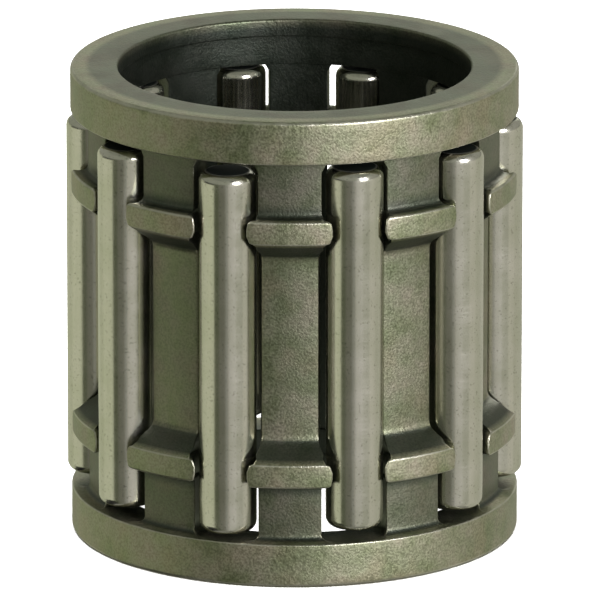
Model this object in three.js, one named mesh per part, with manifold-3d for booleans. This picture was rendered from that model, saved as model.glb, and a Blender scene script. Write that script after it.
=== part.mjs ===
// Needle roller and cage assembly for a 12 mm shaft in a 16 mm housing bore: ten needle rollers that spin in
// the pockets of a one-piece steel cage, which is straight inside and grooved outside.
// Millimetres. +Z runs along the bearing axis, and the origin is the centre of the lower end face.
import * as THREE from "three";
import { mergeVertices } from "three/addons/utils/BufferGeometryUtils.js";
import Module from "manifold-3d";

const wasm = await Module();
wasm.setup();

// Rollers.
const SHAFT_DIAMETER = 12;
const ROLLER_DIAMETER = 2;
const ROLLER_COUNT = 10;
const ROLLER_LENGTH = 13;
const ROLLER_END_ROUND = 0.35;
const ROLLER_SIDE_PLAY = 0.16;
// How far each loose roller stands above the middle plane of the cage.
const ROLLER_RISE = [0, 0.12, 0.06, 0.11, 0.12, 0, 0.02, -0.12, 0.05, 0.03];
// How far each roller lies from the middle of its pocket, counter-clockwise, as a share of the side play.
const ROLLER_LEAN = [0, -0.5, -1, 0, 0.3, -0.4, -1, 0, 0.4, 0];

// Cage: the heights are measured from its middle plane, and the wall is the same in both halves.
const CAGE_WIDTH = 16.7;
const RIM_DIAMETER = 15.7;
const BORE_DIAMETER = 12.36; // at the flanges
const INSIDE_DIAMETER = 12.54; // between the flanges
const BAND_DIAMETER = 14.58; // the wall between a rim and a ridge, level with the roller axes
const WEB_DIAMETER = 13.8; // the middle wall
const RIM_HEIGHT = 1.53;
const RIDGE_HEIGHT = 0.83;
const RIDGE_MIDDLE = 4.385;
const WEB_TOP = 3.3;
const FLANGE_THICKNESS = 0.62;
const RIM_CHAMFER = 0.12;
const BORE_CHAMFER = 0.08;

// Pockets.
const POCKET_DIAMETER = 2.36;
const LIP_OPENING = 1.9; // narrower than a roller, so that none falls out
const POCKET_TOP = 6.68; // the pockets stop short of the upper rim and reach the lower one

// Facets.
const CAGE_SIDES = 80;
const POCKET_SIDES = 32;
const ROLLER_SIDES = 24;
const END_ROUND_STEPS = 3;

const PITCH_RADIUS = (SHAFT_DIAMETER + ROLLER_DIAMETER) / 2;
const RIM_UNDERSIDE = CAGE_WIDTH / 2 - RIM_HEIGHT;

const cageSteel = { color: 0x77785f, roughness: 0.55, metalness: 0.8 };
const rollerSteel = { color: 0xb4b3a6, roughness: 0.22, metalness: 1 };

// A closed geometry as a solid that can be joined and cut.
function solidOf(geometry) {
  const bare = geometry.index ? geometry.toNonIndexed() : geometry.clone();
  bare.deleteAttribute("normal");
  bare.deleteAttribute("uv");
  const merged = mergeVertices(bare, 1e-5);
  return new wasm.Manifold(
    new wasm.Mesh({
      numProp: 3,
      vertProperties: new Float32Array(merged.attributes.position.array),
      triVerts: new Uint32Array(merged.index.array),
    }),
  );
}

function geometryOf(solid) {
  const mesh = solid.getMesh();
  const geometry = new THREE.BufferGeometry();
  geometry.setAttribute("position", new THREE.BufferAttribute(mesh.vertProperties, 3));
  geometry.setIndex(new THREE.BufferAttribute(mesh.triVerts, 1));
  geometry.computeVertexNormals();
  return geometry;
}

function steelPart(name, geometry, finish) {
  const mesh = new THREE.Mesh(geometry, new THREE.MeshStandardMaterial({ ...finish, flatShading: true }));
  mesh.name = name;
  return mesh;
}

// Turns a profile of [radius, height] points about the Z axis.
function turned(profile, sides) {
  const points = profile.map(([radius, height]) => new THREE.Vector2(radius, height));
  return new THREE.LatheGeometry(points, sides).rotateX(Math.PI / 2);
}

function mirrored(profile) {
  return profile.map(([radius, height]) => [radius, -height]).reverse();
}

// The angle of a pocket about the bearing axis.
function pocketAngle(index) {
  return (index * 2 * Math.PI) / ROLLER_COUNT;
}

// The outside of the upper half of the cage wall, from its bore down to the middle wall.
function outerProfile() {
  const top = CAGE_WIDTH / 2;
  const rim = RIM_DIAMETER / 2;
  const bore = BORE_DIAMETER / 2;
  const band = BAND_DIAMETER / 2;
  const ridgeTop = RIDGE_MIDDLE + RIDGE_HEIGHT / 2;
  const ridgeFoot = RIDGE_MIDDLE - RIDGE_HEIGHT / 2;
  return [
    [bore, top - BORE_CHAMFER],
    [bore + BORE_CHAMFER, top],
    [rim - RIM_CHAMFER, top],
    [rim, top - RIM_CHAMFER],
    [rim, RIM_UNDERSIDE],
    [band, RIM_UNDERSIDE],
    [band, ridgeTop],
    [rim, ridgeTop],
    [rim, ridgeFoot],
    [WEB_DIAMETER / 2, WEB_TOP],
  ];
}

// The inside of the same half, from the bore's lower edge to the straight wall.
function innerProfile() {
  const flangeFoot = CAGE_WIDTH / 2 - FLANGE_THICKNESS;
  return [
    [BORE_DIAMETER / 2, flangeFoot],
    [INSIDE_DIAMETER / 2, flangeFoot],
  ];
}

function cageBlank() {
  const outside = [...outerProfile(), ...mirrored(outerProfile())];
  const inside = [...innerProfile(), ...mirrored(innerProfile())];
  const upward = [...outside.reverse(), ...inside];
  return solidOf(turned([...upward, upward[0]], CAGE_SIDES));
}

// What one pocket takes out of the wall: a round bed for the roller, and the narrower slot between the lips.
function pocketCutter(index) {
  const length = POCKET_TOP + RIM_UNDERSIDE;
  const middle = (POCKET_TOP - RIM_UNDERSIDE) / 2;
  const slotDepth = RIM_DIAMETER - 2 * PITCH_RADIUS;
  const bed = new THREE.CylinderGeometry(POCKET_DIAMETER / 2, POCKET_DIAMETER / 2, length, POCKET_SIDES)
    .rotateX(Math.PI / 2)
    .translate(PITCH_RADIUS, 0, middle);
  const slot = new THREE.BoxGeometry(slotDepth, LIP_OPENING, length)
    .translate(PITCH_RADIUS + slotDepth / 2, 0, middle);
  const cutters = [bed, slot].map((shape) => solidOf(shape.rotateZ(pocketAngle(index))));
  return cutters[0].add(cutters[1]);
}

function cage() {
  let solid = cageBlank();
  for (let index = 0; index < ROLLER_COUNT; index += 1) {
    solid = solid.subtract(pocketCutter(index));
  }
  return steelPart("cage", geometryOf(solid), cageSteel);
}

// A needle roller with rounded ends, turned about its own axis.
function rollerGeometry() {
  const radius = ROLLER_DIAMETER / 2;
  const half = ROLLER_LENGTH / 2;
  const lowerEnd = [[0, -half]];
  for (let step = 0; step <= END_ROUND_STEPS; step += 1) {
    const angle = (step / END_ROUND_STEPS) * (Math.PI / 2);
    lowerEnd.push([
      radius - ROLLER_END_ROUND * (1 - Math.sin(angle)),
      -half + ROLLER_END_ROUND * (1 - Math.cos(angle)),
    ]);
  }
  return turned([...lowerEnd, ...mirrored(lowerEnd)], ROLLER_SIDES);
}

// Roller 1 lies on +X, and the others follow counter-clockwise as seen from above.
function roller(index) {
  const mesh = steelPart(`roller_${String(index + 1).padStart(2, "0")}`, rollerGeometry(), rollerSteel);
  const angle = pocketAngle(index);
  const lean = ROLLER_LEAN[index] * ROLLER_SIDE_PLAY;
  mesh.position.set(
    PITCH_RADIUS * Math.cos(angle) - lean * Math.sin(angle),
    PITCH_RADIUS * Math.sin(angle) + lean * Math.cos(angle),
    ROLLER_RISE[index],
  );
  return mesh;
}

const bearing = new THREE.Group();
bearing.position.z = CAGE_WIDTH / 2;
bearing.add(cage());
for (let index = 0; index < ROLLER_COUNT; index += 1) {
  bearing.add(roller(index));
}

export default bearing;
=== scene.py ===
import math

import bmesh
import bpy
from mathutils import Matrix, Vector

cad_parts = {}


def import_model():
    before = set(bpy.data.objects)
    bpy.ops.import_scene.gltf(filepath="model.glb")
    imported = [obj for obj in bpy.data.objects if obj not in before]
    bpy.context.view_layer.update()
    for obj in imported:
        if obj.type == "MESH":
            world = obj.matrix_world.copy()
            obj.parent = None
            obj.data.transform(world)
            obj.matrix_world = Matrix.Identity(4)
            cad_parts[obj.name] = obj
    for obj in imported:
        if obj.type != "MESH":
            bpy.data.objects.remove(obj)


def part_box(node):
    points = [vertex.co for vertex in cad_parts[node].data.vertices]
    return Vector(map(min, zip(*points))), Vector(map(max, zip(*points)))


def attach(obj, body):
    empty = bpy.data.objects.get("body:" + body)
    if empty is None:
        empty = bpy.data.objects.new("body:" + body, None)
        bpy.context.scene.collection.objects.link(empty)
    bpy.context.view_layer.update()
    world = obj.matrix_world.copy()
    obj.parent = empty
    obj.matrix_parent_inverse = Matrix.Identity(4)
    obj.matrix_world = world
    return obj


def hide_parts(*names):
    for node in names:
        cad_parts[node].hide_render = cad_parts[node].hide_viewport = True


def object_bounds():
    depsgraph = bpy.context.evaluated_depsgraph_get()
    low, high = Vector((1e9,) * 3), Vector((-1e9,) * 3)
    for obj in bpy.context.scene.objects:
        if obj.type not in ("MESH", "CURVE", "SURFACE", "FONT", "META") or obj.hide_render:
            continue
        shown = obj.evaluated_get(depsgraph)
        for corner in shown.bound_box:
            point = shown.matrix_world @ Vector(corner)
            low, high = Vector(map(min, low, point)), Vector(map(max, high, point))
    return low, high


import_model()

MM = 0.001
CAD_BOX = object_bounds()
CENTRE = (CAD_BOX[0] + CAD_BOX[1]) / 2

# Cage: the outer sizes come from the frame.
CAGE_LOW, CAGE_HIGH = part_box("cage")
CAGE_HALF = (CAGE_HIGH.z - CAGE_LOW.z) / 2 / MM
MIDDLE_HEIGHT = (CAGE_HIGH.z + CAGE_LOW.z) / 2 / MM
RIM_RADIUS = CAGE_HIGH.x / MM
BORE_RADIUS = 6.18  # at the flanges
INSIDE_RADIUS = 6.27  # between the flanges
BAND_RADIUS = 7.29  # the wall between a rim and a ridge
WEB_RADIUS = 6.9  # the middle wall
RIM_FOOT = CAGE_HALF - 1.53
WINDOW_TOP = 6.68  # a collar of the band stays between the windows and the upper rim
RIDGE_TOP = 4.8
RIDGE_FOOT = 3.97
WEB_TOP = 3.3
FLANGE = 0.62

# Pockets.
POCKETS = 10
PITCH = 2 * math.pi / POCKETS
PITCH_RADIUS = 7
POCKET_RADIUS = 1.18
LIP_OPENING = 1.9

# Rounded edges of the cage.
EDGE = 0.06
RIM_EDGE = 0.14
BORE_EDGE = 0.09
RIDGE_EDGE = 0.1
RIDGE_CORNER = 0.24
SHOULDER_FILLET = 0.22
WEB_FILLET = 0.4
WINDOW_CORNER = 0.16
FLANGE_EDGE = 0.04
INSIDE_EDGE = 0.03
TRIM_START = 0.1  # a ridge's corners are cut back from this far outside the band
COLLAR_GAP = 0.05  # the collar stands this far outside the bars
COLLAR_EDGE = 0.03
COLLAR_FLAT = 0.05
RIM_FLAT = 0.12
ROOT_CLEARANCE = 0.08  # a bar's back stands this far outside the ring's inner edge
INNER_SLANT = 0.3  # how far the inside's heights follow the length of the outside's path

# Rollers.
ROLLER_END_ROUND = 0.35
ROLLER_DOME = 0.03  # how far the middle of an end stands proud

# Camera: its place is worked out from the angle and distance of the view.
VIEW_AZIMUTH = 1.26
VIEW_ELEVATION = 16.03
VIEW_DISTANCE = 429
SENSOR = 36
LENS = 742.5
SHIFT_X = 0.0025
SHIFT_Y = -0.0036

# Colours of the steel.
CAGE_TONES = (
    (0.32, (0.33, 0.36, 0.22)),
    (0.5, (0.42, 0.42, 0.30)),
    (0.68, (0.47, 0.43, 0.34)),
)
CAGE_STAIN = (0.28, 0.32, 0.20, 1)
CAGE_BLUSH = (0.46, 0.39, 0.28, 1)
CAGE_GRAIN = (
    (0.34, (0.66, 0.66, 0.64)),
    (0.62, (1, 1, 1)),
)
# A near-black colour for the painted shade in the cage's hollows.
CAGE_SHADE = (0.045, 0.058, 0.052, 1)
WORN_EDGE = (0.66, 0.65, 0.56, 1)
CAGE_WEAR = 0.7
CAGE_ROUGHNESS = (0.40, 0.50)
ROLLER_TONES = (
    (0.3, (0.60, 0.60, 0.50)),
    (0.7, (0.70, 0.68, 0.61)),
)
ROLLER_STREAKS = (
    (0.3, (0.93, 0.93, 0.93)),
    (0.7, (1, 1, 1)),
)
ROLLER_SPECK = (0.30, 0.30, 0.24, 1)
# A near-black colour for the painted shade on the rollers' end faces.
ROLLER_END_SHADE = (0.02, 0.025, 0.022, 1)
ROLLER_ROUGHNESS = (0.17, 0.24)
NOISE_SPAN = (0.3, 0.7)  # the range in which most of a noise's values lie
PAPER_TONES = (
    (0.3, (0.86, 0.86, 0.85)),
    (0.7, (0.9, 0.9, 0.89)),
)

# Light: the cards' azimuths and elevations are in degrees, and each card ends with its radiance.
WORLD_STRENGTH = 0.015
CARD_DISTANCE = 620
CARD_STEPS = 8
CARDS = (
    ("left_back", (-165, -105), (-40, 6), (0.52, 0.54, 0.40)),
    ("left_wall", (-105, -54), (-30, -3), (0.60, 0.62, 0.47)),
    ("left_gap", (-54, -34), (-60, 10), (0.11, 0.12, 0.08)),
    ("front_left", (-34, -8), (-60, 10), (0.17, 0.17, 0.14)),
    ("front", (-8, 4), (-60, 10), (0.30, 0.30, 0.27)),
    ("front_right", (4, 34), (-60, 10), (0.52, 0.51, 0.47)),
    ("right_near", (34, 62), (-60, 10), (0.42, 0.42, 0.36)),
    ("right_wall", (62, 90), (-60, 10), (0.56, 0.55, 0.48)),
    ("right_back", (90, 165), (-60, 10), (0.50, 0.50, 0.42)),
    ("behind", (160, 200), (4, 34), (0.95, 0.97, 0.86)),
    ("upper_left", (-165, 18), (8, 50), (0.3, 0.31, 0.26)),
    ("upper_right", (50, 160), (12, 50), (0.35, 0.35, 0.31)),
    ("zenith", (0, 360), (50, 89), (0.24, 0.25, 0.21)),
    ("below", (0, 360), (-89, -60), (0.25, 0.25, 0.22)),
    ("key", (27, 52), (2, 34), (13.5, 13.3, 13.6)),
)
FLOOR_GAP = 0.01
BACKDROP_RADIUS = 740
FLOOR_LIGHT_SIZE = 500
FLOOR_LIGHT_HEIGHT = 600
FLOOR_LIGHT_POWER = 12

# Fineness of the meshes.
RING_SIDES = 240
ROLLER_SIDES = 96
ARC_STEPS = 6
SIDE_STEPS = 6
FACE_STEPS = 14
DOME_STEPS = 4
END_ROUND_STEPS = 8
WINDOW_ROUNDS = 4
FLOOR_SEGMENTS = 128
BACKDROP_SEGMENTS = 48
LONGEST_STEP = 0.3
SAME_POINT = 1e-5

# Wear and painted shade of the cage, kept in a mesh attribute: 1 is a worn edge, 0 is plain and -1 is the
# deepest painted shade.
WEAR_AND_SHADE = "wear_and_shade"
WEB_FILLET_SHADE = -0.5
FLANGE_WEAR = 0.5
COLLAR_WEAR = 0.6
# Painted shade: these negative values darken the inside, the bands, the middle wall, the slopes, the
# shoulders and the pocket walls, where shade falls.
INSIDE_SHADE = -1
BAND_SHADE = -0.65
WEB_SHADE = -0.36
SLOPE_SHADE = -0.9
POCKET_SHADE = -0.8
SHADE_MARGIN = 0.02
SURFACE_SLACK = 0.01


def arc(corner, before, after, radius):
    """Points of the arc that rounds a corner of a path in the plane of radius and height."""
    into = (corner - before).normalized()
    out = (after - corner).normalized()
    turn = into.angle(out)
    start = corner - into * radius * math.tan(turn / 2)
    side = (out - into * into.dot(out)).normalized()
    angles = [turn * step / ARC_STEPS for step in range(ARC_STEPS + 1)]
    return [start + into * radius * math.sin(a) + side * radius * (1 - math.cos(a)) for a in angles]


def rounded_path(corners):
    """An open path of (radius, height, wear and painted shade) through (radius, height, rounding, wear and
    painted shade) corners.

    A corner's value of wear and painted shade is reached in the middle of its arc and falls to 0 at both
    ends.
    Straight stretches are divided into short steps. The path's two ends aren't rounded.
    """
    points = [Vector(corner[:2]) for corner in corners]
    bare = [points[0].to_3d()]
    for index in range(1, len(points) - 1):
        curve = arc(points[index], points[index - 1], points[index + 1], corners[index][2])
        for step, point in enumerate(curve):
            wear_and_shade = corners[index][3] * math.sin(math.pi * step / ARC_STEPS)
            bare.append(Vector((point.x, point.y, wear_and_shade)))
    bare.append(points[-1].to_3d())
    path = [bare[0]]
    for point in bare[1:]:
        last = path[-1]
        gap = (point - last).xy.length
        if gap < SAME_POINT:
            continue
        steps = math.ceil(gap / LONGEST_STEP)
        path += [last.lerp(point, step / steps) for step in range(1, steps + 1)]
    return path


def quarter(distance, radius):
    """How far a quarter round of this radius has fallen away at a distance from its edge."""
    if distance >= radius:
        return 0
    return radius - math.sqrt(radius ** 2 - (radius - max(distance, 0)) ** 2)


def smooth_step(low, high, value):
    """A smooth rise from 0 to 1 as the value goes from low to high."""
    share = min(max((value - low) / (high - low), 0), 1)
    return share * share * (3 - 2 * share)


def window_angle(radius):
    """Half of a pocket's opening at this distance from the bearing's axis, as an angle."""
    half = LIP_OPENING / 2
    for _ in range(WINDOW_ROUNDS):
        along = math.sqrt(radius ** 2 - half ** 2)
        bed = math.sqrt(max(POCKET_RADIUS ** 2 - (along - PITCH_RADIUS) ** 2, 0))
        half = max(LIP_OPENING / 2, bed)
    return math.asin(half / radius)


def corner_trim(radius, height):
    """How far the rounded corners of a ridge's face are cut back at a point of the outside."""
    inside = min(RIDGE_TOP - abs(height), abs(height) - RIDGE_FOOT)
    share = smooth_step(BAND_RADIUS + TRIM_START, RIM_RADIUS - RIDGE_EDGE, radius)
    return quarter(inside, RIDGE_CORNER) * share


def bar_loop(outside, inside):
    """One turn round a bar at a point of its outside and one of its inside.

    Its points are (angle, radius, height, wear and painted shade), with the angle measured from the middle
    of the bar.
    """
    across = (inside - outside).xy
    thickness = across.length
    trim = corner_trim(outside.x, outside.y)

    def side(depth, cut, wear_and_shade):
        point = outside.xy + across * (depth / thickness)
        spread = quarter(min(WINDOW_TOP - point.y, RIM_FOOT + point.y), WINDOW_CORNER)
        half = PITCH / 2 - window_angle(point.x)
        half += (spread - trim * (1 - depth / thickness) - cut) / point.x
        return half, point.x, point.y, wear_and_shade

    def rounding(step, deep):
        turn = math.pi / 2 * step / ARC_STEPS
        depth = EDGE * (1 - math.cos(turn))
        wear_and_shade = math.sin(math.pi * step / ARC_STEPS)
        return side(thickness - depth if deep else depth, EDGE * (1 - math.sin(turn)), wear_and_shade)

    outer_edge = [rounding(step, False) for step in range(ARC_STEPS + 1)]
    inner_edge = [rounding(step, True) for step in reversed(range(ARC_STEPS + 1))]
    flat = thickness - 2 * EDGE
    # The pocket walls get painted shade.
    middle = [side(EDGE + flat * step / SIDE_STEPS, 0, POCKET_SHADE) for step in range(1, SIDE_STEPS)]
    edge = outer_edge + middle + inner_edge
    mirror = [(-angle, *rest) for angle, *rest in reversed(edge)]
    front = face_between(mirror[-1], edge[0])
    back = face_between(edge[-1], mirror[0])
    return [blended(point, outside) for point in edge + back + mirror + front]


def blended(point, outside):
    """A loop's point with the wear and painted shade of the outside's own path added on and near the outer
    face.
    """
    angle, radius, height, wear_and_shade = point
    if wear_and_shade * outside.z >= 0:
        nearness = 1 - min((outside.x - radius) / EDGE, 1)
        wear_and_shade += outside.z * nearness * (1 - abs(wear_and_shade))
    return angle, radius, height, wear_and_shade


def face_between(start, end):
    """The points between two ends of a loop's outer or inner face, which lie on one radius."""
    shares = [step / FACE_STEPS for step in range(1, FACE_STEPS)]
    return [(start[0] + (end[0] - start[0]) * share, start[1], start[2], 0) for share in shares]


def bar_stations():
    """The pairs of outside and inside points along a bar, from its upper root to its lower root."""
    # The last number of each corner is its wear: 1 on the rounded outer edges; the negative numbers are
    # painted shade in the inner fillets.
    outer = rounded_path([
        (BAND_RADIUS, WINDOW_TOP, 0, 0),
        (BAND_RADIUS, RIDGE_TOP, SHOULDER_FILLET, -1),
        (RIM_RADIUS, RIDGE_TOP, RIDGE_EDGE, 1),
        (RIM_RADIUS, RIDGE_FOOT, RIDGE_EDGE, 1),
        (WEB_RADIUS, WEB_TOP, WEB_FILLET, WEB_FILLET_SHADE),
        (WEB_RADIUS, -WEB_TOP, WEB_FILLET, WEB_FILLET_SHADE),
        (RIM_RADIUS, -RIDGE_FOOT, RIDGE_EDGE, 1),
        (RIM_RADIUS, -RIDGE_TOP, RIDGE_EDGE, 1),
        (BAND_RADIUS, -RIDGE_TOP, SHOULDER_FILLET, -1),
        (BAND_RADIUS, -RIM_FOOT, SHOULDER_FILLET, -1),
        (BAND_RADIUS + SHOULDER_FILLET, -RIM_FOOT, 0, 0),
    ])
    lengths = [0]
    for first, second in zip(outer, outer[1:]):
        lengths.append(lengths[-1] + (second - first).xy.length)
    back = INSIDE_RADIUS + ROOT_CLEARANCE
    stations = []
    for outside, length in zip(outer, lengths):
        even = WINDOW_TOP - (WINDOW_TOP + RIM_FOOT) * length / lengths[-1]
        height = outside.y + (even - outside.y) * INNER_SLANT
        stations.append((outside, Vector((back, height, 0))))
    return stations


def ring_path(foot, collar):
    """The section of an end ring, open along the flat underside that the bars stand against.

    The foot is the height of that underside, and the collar is the radius of the strip of band that stays
    under the rim, or None.
    """
    flange_foot = CAGE_HALF - FLANGE
    # The last number of each corner is its wear: the positive numbers are worn edges, and -1 is painted
    # shade in an inner corner.
    root = [
        (RIM_RADIUS - RIM_FLAT, foot, 0, 0),
        (RIM_RADIUS, foot, EDGE, 1),
    ]
    if collar:
        root = [
            (collar - COLLAR_FLAT, foot, 0, 0),
            (collar, foot, COLLAR_EDGE, COLLAR_WEAR),
            (collar, RIM_FOOT, COLLAR_EDGE, -1),
            (RIM_RADIUS, RIM_FOOT, EDGE, 1),
        ]
    return rounded_path(root + [
        (RIM_RADIUS, CAGE_HALF, RIM_EDGE, 1),
        (BORE_RADIUS, CAGE_HALF, BORE_EDGE, 1),
        (BORE_RADIUS, flange_foot, FLANGE_EDGE, FLANGE_WEAR),
        (INSIDE_RADIUS, flange_foot, INSIDE_EDGE, -1),
        (INSIDE_RADIUS, foot, INSIDE_EDGE, FLANGE_WEAR),
        (INSIDE_RADIUS + COLLAR_FLAT, foot, 0, 0),
    ])


def recess(radius, height):
    """The most wear that a place can have: the inside, the grooves, the slopes, the shoulders and the
    middle wall get painted shade.
    """
    level = abs(height)
    shoulder_end = RIDGE_TOP + SHOULDER_FILLET + SHADE_MARGIN
    if radius < INSIDE_RADIUS + ROOT_CLEARANCE + EDGE and level < CAGE_HALF - RIM_EDGE:
        return INSIDE_SHADE
    if radius < RIM_RADIUS - RIDGE_EDGE:
        slope = WEB_TOP < level < RIDGE_FOOT - SHADE_MARGIN
        shoulder = RIDGE_TOP - SURFACE_SLACK < level < shoulder_end
        if slope or shoulder:
            return SLOPE_SHADE
    if radius < BAND_RADIUS + SURFACE_SLACK and level > RIDGE_TOP:
        return BAND_SHADE
    if radius < WEB_RADIUS + SURFACE_SLACK:
        return WEB_SHADE
    return 1


def place(mesh, angle, radius, height, wear_and_shade):
    """A vertex from an angle, a radius and a height above the cage's middle plane, with its wear and
    painted shade.
    """
    spot = Vector((radius * math.cos(angle), radius * math.sin(angle), MIDDLE_HEIGHT + height))
    vertex = mesh.verts.new(spot * MM)
    vertex[mesh.verts.layers.float[WEAR_AND_SHADE]] = min(wear_and_shade, recess(radius, height))
    return vertex


def skin(mesh, rows, closed):
    """Quads between neighbouring rows of vertices."""
    for first, second in zip(rows, rows[1:]):
        count = len(first)
        for index in range(count if closed else count - 1):
            after = (index + 1) % count
            mesh.faces.new((first[index], first[after], second[after], second[index]))


def end_ring(mesh, side, path):
    """An end ring without its flat underside; side is 1 for the upper ring and -1 for the lower one."""
    rows = []
    for point in path:
        angles = [2 * math.pi * step / RING_SIDES for step in range(RING_SIDES)]
        rows.append([place(mesh, angle, point.x, side * point.y, point.z) for angle in angles])
    skin(mesh, rows, closed=True)
    return rows[0] + rows[-1]


def bar(mesh, stations, index):
    """The bar after pocket number index, open at its two roots."""
    middle = (index + 0.5) * PITCH
    rows = []
    for outside, inside in stations:
        loop = bar_loop(outside, inside)
        rows.append([place(mesh, middle + angle, *rest) for angle, *rest in loop])
    skin(mesh, rows, closed=True)
    fillet_foot = (BAND_RADIUS + SHOULDER_FILLET - EDGE) * MM
    for row in (rows[0], rows[-1]):
        for first, second in zip(row, row[1:] + row[:1]):
            nearest = min(first.co.xy.length, second.co.xy.length)
            mesh.edges.get((first, second)).smooth = nearest > fillet_foot
    return rows[0], rows[-1]


def fill_flat(mesh, verts, facing):
    """Closes a flat area bounded by the open edges of these vertices."""
    chosen = set(verts)
    edges = [edge for edge in mesh.edges if edge.is_boundary and chosen.issuperset(edge.verts)]
    bmesh.ops.triangle_fill(mesh, edges=edges, use_beauty=True, normal=(0, 0, facing))


def mesh_object(name, mesh, body, node, material):
    """Turns a built mesh into a smooth piece that rides on a body and stands for a CAD node."""
    bmesh.ops.recalc_face_normals(mesh, faces=mesh.faces)
    for face in mesh.faces:
        face.smooth = True
    data = bpy.data.meshes.new(name)
    mesh.to_mesh(data)
    mesh.free()
    data.materials.append(material)
    piece = bpy.data.objects.new(name, data)
    bpy.context.scene.collection.objects.link(piece)
    weighted = piece.modifiers.new("weighted normals", "WEIGHTED_NORMAL")
    weighted.keep_sharp = True
    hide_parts(node)
    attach(piece, body)


def cage(material):
    """The cage: two end rings, and a bar between each two pockets."""
    mesh = bmesh.new()
    mesh.verts.layers.float.new(WEAR_AND_SHADE)
    upper = end_ring(mesh, 1, ring_path(WINDOW_TOP, BAND_RADIUS + COLLAR_GAP))
    lower = end_ring(mesh, -1, ring_path(RIM_FOOT, None))
    stations = bar_stations()
    for index in range(POCKETS):
        top, bottom = bar(mesh, stations, index)
        upper += top
        lower += bottom
    fill_flat(mesh, upper, -1)
    fill_flat(mesh, lower, 1)
    mesh_object("cage_shell", mesh, "cage", "cage", material)


def roller_path(radius, half):
    """The section of a roller from the middle of its lower end to the middle of its upper end."""
    lower = [Vector((0, -half))]
    flat = radius - ROLLER_END_ROUND
    for step in range(1, DOME_STEPS + 1):
        share = step / DOME_STEPS
        lower.append(Vector((flat * share, -half + ROLLER_DOME * share ** 2)))
    shoulder = -half + ROLLER_DOME + ROLLER_END_ROUND
    for step in range(1, END_ROUND_STEPS + 1):
        turn = math.pi / 2 * step / END_ROUND_STEPS
        out = ROLLER_END_ROUND * math.sin(turn)
        down = ROLLER_END_ROUND * math.cos(turn)
        lower.append(Vector((flat + out, shoulder - down)))
    upper = [Vector((point.x, -point.y)) for point in reversed(lower)]
    return lower + upper


def roller(node, material):
    """A roller with domed ends and rounded corners, in the place of its CAD node."""
    low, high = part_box(node)
    centre = (low + high) / 2
    radius = (high.x - low.x) / 2 / MM
    path = roller_path(radius, (high.z - low.z) / 2 / MM)
    mesh = bmesh.new()
    rows = []
    for point in path[1:-1]:
        row = []
        for step in range(ROLLER_SIDES):
            angle = 2 * math.pi * step / ROLLER_SIDES
            offset = Vector((point.x * math.cos(angle), point.x * math.sin(angle), point.y))
            row.append(mesh.verts.new(centre + offset * MM))
        rows.append(row)
    skin(mesh, rows, closed=True)
    for row, point in ((rows[0], path[0]), (rows[-1], path[-1])):
        tip = mesh.verts.new(centre + Vector((0, 0, point.y)) * MM)
        for index in range(ROLLER_SIDES):
            mesh.faces.new((row[index], row[(index + 1) % ROLLER_SIDES], tip))
    mesh_object(node + "_ground", mesh, node, node, material)


def add(tree, kind, inputs, **settings):
    """A shader node with its settings; each input is a value, or a socket to link from."""
    node = tree.nodes.new("ShaderNode" + kind)
    for name, value in settings.items():
        setattr(node, name, value)
    for key, value in inputs.items():
        if isinstance(value, bpy.types.NodeSocket):
            tree.links.new(value, node.inputs[key])
        else:
            node.inputs[key].default_value = value
    return node


def noise(tree, size, detail=2, stretch=(1, 1, 1), offset=0):
    """Noise with features of about this size, stretched along the object's axes; it lies about 0.5."""
    coordinates = add(tree, "TexCoord", {})
    mapping = add(tree, "Mapping", {
        "Vector": coordinates.outputs["Object"],
        "Location": (offset, offset, offset),
        "Scale": stretch,
    })
    texture = add(tree, "TexNoise", {
        "Vector": mapping.outputs["Vector"],
        "Scale": 1 / (size * MM),
        "Detail": detail,
    })
    return texture.outputs["Fac"]


def ramp(tree, value, stops):
    """Colours by value, from (position, colour) stops."""
    node = add(tree, "ValToRGB", {"Fac": value})
    elements = node.color_ramp.elements
    while len(elements) < len(stops):
        elements.new(0.5)
    for element, (position, colour) in zip(elements, stops):
        element.position = position
        element.color = (*colour, 1)
    return node.outputs["Color"]


def mapped(tree, value, source, target):
    """The value, carried from one range to another."""
    node = add(tree, "MapRange", {
        "Value": value,
        "From Min": source[0],
        "From Max": source[1],
        "To Min": target[0],
        "To Max": target[1],
    })
    return node.outputs["Result"]


def mixed(tree, share, first, second, blend="MIX"):
    """Two colours mixed by a share, which is a number or a socket."""
    node = add(tree, "MixRGB", {"Fac": share, "Color1": first, "Color2": second}, blend_type=blend)
    return node.outputs["Color"]


def summed(tree, first, second):
    """The sum of two sockets."""
    return add(tree, "Math", {0: first, 1: second}, operation="ADD").outputs["Value"]


def bumped(tree, height, depth, normal=None):
    """A bump whose height socket spans about this depth."""
    inputs = {"Height": height, "Distance": depth * MM, "Strength": 1}
    if normal:
        inputs["Normal"] = normal
    return add(tree, "Bump", inputs).outputs["Normal"]


def metal(name):
    """A new material with a metallic shader: its node tree and shader."""
    material = bpy.data.materials.new(name)
    material.use_nodes = True
    tree = material.node_tree
    shader = next(node for node in tree.nodes if node.type == "BSDF_PRINCIPLED")
    shader.inputs["Metallic"].default_value = 1
    return material, tree, shader


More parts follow.
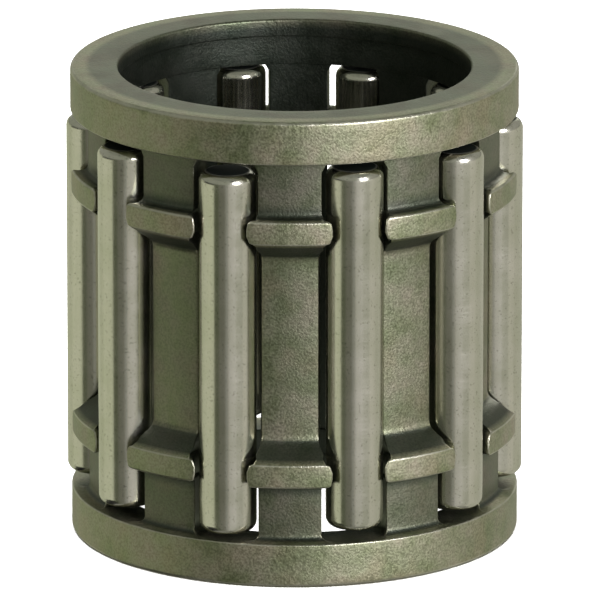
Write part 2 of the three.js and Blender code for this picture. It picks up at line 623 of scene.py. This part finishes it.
def cage_steel():
    """Olive-grey phosphated steel: mottled and sandy, brighter along worn edges, with painted shade in the
    hollows, grooves and inside.
    """
    material, tree, shader = metal("phosphated steel")
    mottle = noise(tree, 0.9, detail=4)
    stain = noise(tree, 2.6, detail=3)
    blush = noise(tree, 1.7, offset=7)
    grain = noise(tree, 0.075)
    tone = ramp(tree, mottle, CAGE_TONES)
    tone = mixed(tree, mapped(tree, stain, (0.4, 0.65), (0, 0.4)), tone, CAGE_STAIN)
    tone = mixed(tree, mapped(tree, blush, (0.52, 0.68), (0, 0.4)), tone, CAGE_BLUSH)
    tone = mixed(tree, 1, tone, ramp(tree, grain, CAGE_GRAIN), blend="MULTIPLY")
    # The attribute holds wear on the edges and painted shade in the hollows.
    edge = add(tree, "Attribute", {}, attribute_name=WEAR_AND_SHADE).outputs["Fac"]
    patchy = summed(tree, edge, mapped(tree, mottle, (0.35, 0.65), (-0.3, 0.15)))
    worn = mapped(tree, patchy, (0.2, 0.9), (0, CAGE_WEAR))
    # Painted shade: the attribute's negative values darken the colour towards near black.
    shaded = mapped(tree, edge, (-0.1, -1), (0, 0.9))
    tone = mixed(tree, worn, tone, WORN_EDGE)
    tone = mixed(tree, shaded, tone, CAGE_SHADE)
    matt = summed(
        tree,
        mapped(tree, mottle, NOISE_SPAN, CAGE_ROUGHNESS),
        mapped(tree, grain, NOISE_SPAN, (-0.05, 0.05)),
    )
    rubbed = summed(tree, matt, mapped(tree, worn, (0, 1), (0, -0.14)))
    coarse = bumped(tree, noise(tree, 0.22, detail=3), 0.010)
    fine = bumped(tree, grain, 0.012, normal=coarse)
    finish(tree, shader, tone, rubbed, fine)
    return material


def roller_steel():
    """Bright ground steel with faint grinding marks and streaks; its ends get painted shade and are
    duller.
    """
    material, tree, shader = metal("ground steel")
    bloom = noise(tree, 1.2, detail=4)
    marks = noise(tree, 0.5, detail=3, stretch=(0.15, 0.15, 9))
    streaks = noise(tree, 0.25, detail=3, stretch=(1, 1, 0.05))
    specks = noise(tree, 0.09, detail=1)
    tone = ramp(tree, bloom, ROLLER_TONES)
    tone = mixed(tree, 1, tone, ramp(tree, streaks, ROLLER_STREAKS), blend="MULTIPLY")
    tone = mixed(tree, mapped(tree, specks, (0.62, 0.74), (0, 0.5)), tone, ROLLER_SPECK)
    # Painted shade: the end faces, which face up and down, are darkened towards near black.
    facing = add(tree, "TexCoord", {}).outputs["Normal"]
    upright = add(tree, "SeparateXYZ", {"Vector": facing}).outputs["Z"]
    steep = add(tree, "Math", {0: upright}, operation="ABSOLUTE").outputs["Value"]
    end = mapped(tree, steep, (0.9, 0.985), (0, 1))
    tone = mixed(tree, end, tone, ROLLER_END_SHADE)
    smooth = summed(
        tree,
        mapped(tree, bloom, NOISE_SPAN, ROLLER_ROUGHNESS),
        mapped(tree, marks, NOISE_SPAN, (-0.03, 0.03)),
    )
    dulled = summed(tree, smooth, mapped(tree, end, (0, 1), (0, 0.6)))
    finish(tree, shader, tone, dulled, bumped(tree, marks, 0.0008))
    return material


def finish(tree, shader, tone, roughness, normal):
    """Links a shader's colour, roughness and bump."""
    tree.links.new(tone, shader.inputs["Base Color"])
    tree.links.new(roughness, shader.inputs["Roughness"])
    tree.links.new(normal, shader.inputs["Normal"])


def glow(name, radiance):
    """An even emission."""
    material = bpy.data.materials.new(name)
    material.use_nodes = True
    tree = material.node_tree
    tree.nodes.clear()
    emission = add(tree, "Emission", {"Color": (*radiance, 1), "Strength": 1})
    output = add(tree, "OutputMaterial", {"Surface": emission.outputs["Emission"]})
    output.is_active_output = True
    return material


def from_centre(azimuth, elevation):
    """The direction from the bearing to a place round it; azimuth 0 is towards -Y and 90 towards +X."""
    a = math.radians(azimuth)
    e = math.radians(elevation)
    return Vector((math.sin(a) * math.cos(e), -math.cos(a) * math.cos(e), math.sin(e)))


def show_to(thing, camera=False, diffuse=False, glossy=False):
    """Which rays meet a light card, the floor or the backdrop."""
    thing.visible_camera = camera
    thing.visible_diffuse = diffuse
    thing.visible_glossy = glossy
    thing.visible_shadow = False
    thing.visible_transmission = False
    thing.visible_volume_scatter = False


def stage_object(name, mesh, material):
    data = bpy.data.meshes.new(name)
    mesh.to_mesh(data)
    mesh.free()
    data.materials.append(material)
    thing = bpy.data.objects.new(name, data)
    bpy.context.scene.collection.objects.link(thing)
    return thing


def card(name, azimuths, elevations, radiance):
    """A soft light seen in the steel, over a range of azimuths and elevations."""
    mesh = bmesh.new()
    azimuth_step = (azimuths[1] - azimuths[0]) / CARD_STEPS
    elevation_step = (elevations[1] - elevations[0]) / CARD_STEPS
    rows = []
    for row in range(CARD_STEPS + 1):
        elevation = elevations[0] + elevation_step * row
        row_azimuths = [azimuths[0] + azimuth_step * step for step in range(CARD_STEPS + 1)]
        ways = [from_centre(azimuth, elevation) for azimuth in row_azimuths]
        rows.append([mesh.verts.new(CENTRE + way * CARD_DISTANCE * MM) for way in ways])
    skin(mesh, rows, closed=False)
    show_to(stage_object(name, mesh, glow(name, radiance)), glossy=True)


def floor():
    """A round sheet of white paper."""
    mesh = bmesh.new()
    bmesh.ops.create_circle(mesh, cap_ends=True, segments=FLOOR_SEGMENTS, radius=BACKDROP_RADIUS * MM)
    bmesh.ops.translate(mesh, verts=mesh.verts, vec=(0, 0, -FLOOR_GAP * MM))
    material = bpy.data.materials.new("white paper")
    material.use_nodes = True
    tree = material.node_tree
    shader = next(node for node in tree.nodes if node.type == "BSDF_PRINCIPLED")
    shader.inputs["Roughness"].default_value = 0.9
    shader.inputs["Specular IOR Level"].default_value = 0
    paper = ramp(tree, noise(tree, 2.5), PAPER_TONES)
    tree.links.new(paper, shader.inputs["Base Color"])
    show_to(stage_object("floor", mesh, material), camera=True, diffuse=True)


def backdrop():
    """A white dome that only the camera sees."""
    mesh = bmesh.new()
    bmesh.ops.create_uvsphere(
        mesh,
        u_segments=BACKDROP_SEGMENTS,
        v_segments=BACKDROP_SEGMENTS // 2,
        radius=BACKDROP_RADIUS * MM,
    )
    show_to(stage_object("backdrop", mesh, glow("backdrop", (1, 1, 1))), camera=True)


def floor_light():
    """A broad light overhead, for the floor alone: the steel is lit by the cards."""
    data = bpy.data.lights.new("floor light", "AREA")
    data.shape = "SQUARE"
    data.size = FLOOR_LIGHT_SIZE * MM
    data.energy = FLOOR_LIGHT_POWER
    light = bpy.data.objects.new("floor light", data)
    light.location = (0, 0, FLOOR_LIGHT_HEIGHT * MM)
    bpy.context.scene.collection.objects.link(light)
    light.visible_glossy = False
    light.visible_camera = False


def world():
    scene_world = bpy.data.worlds.new("studio")
    scene_world.use_nodes = True
    background = scene_world.node_tree.nodes["Background"]
    background.inputs["Color"].default_value = (1, 1, 1, 1)
    background.inputs["Strength"].default_value = WORLD_STRENGTH
    bpy.context.scene.world = scene_world


def camera():
    data = bpy.data.cameras.new("camera")
    data.sensor_width = SENSOR
    data.lens = LENS
    data.shift_x = SHIFT_X
    data.shift_y = SHIFT_Y
    back = from_centre(VIEW_AZIMUTH, VIEW_ELEVATION)
    thing = bpy.data.objects.new("camera", data)
    thing.location = CENTRE + back * VIEW_DISTANCE * MM
    thing.rotation_mode = "QUATERNION"
    thing.rotation_quaternion = (-back).to_track_quat("-Z", "Y")
    bpy.context.scene.collection.objects.link(thing)
    bpy.context.scene.camera = thing


bpy.context.scene.view_settings.view_transform = "Standard"
camera()
world()
floor()
backdrop()
floor_light()
for card_name, card_azimuths, card_elevations, card_radiance in CARDS:
    card(card_name, card_azimuths, card_elevations, card_radiance)
cage(cage_steel())
bright = roller_steel()
for number in range(1, POCKETS + 1):
    roller(f"roller_{number:02d}", bright)
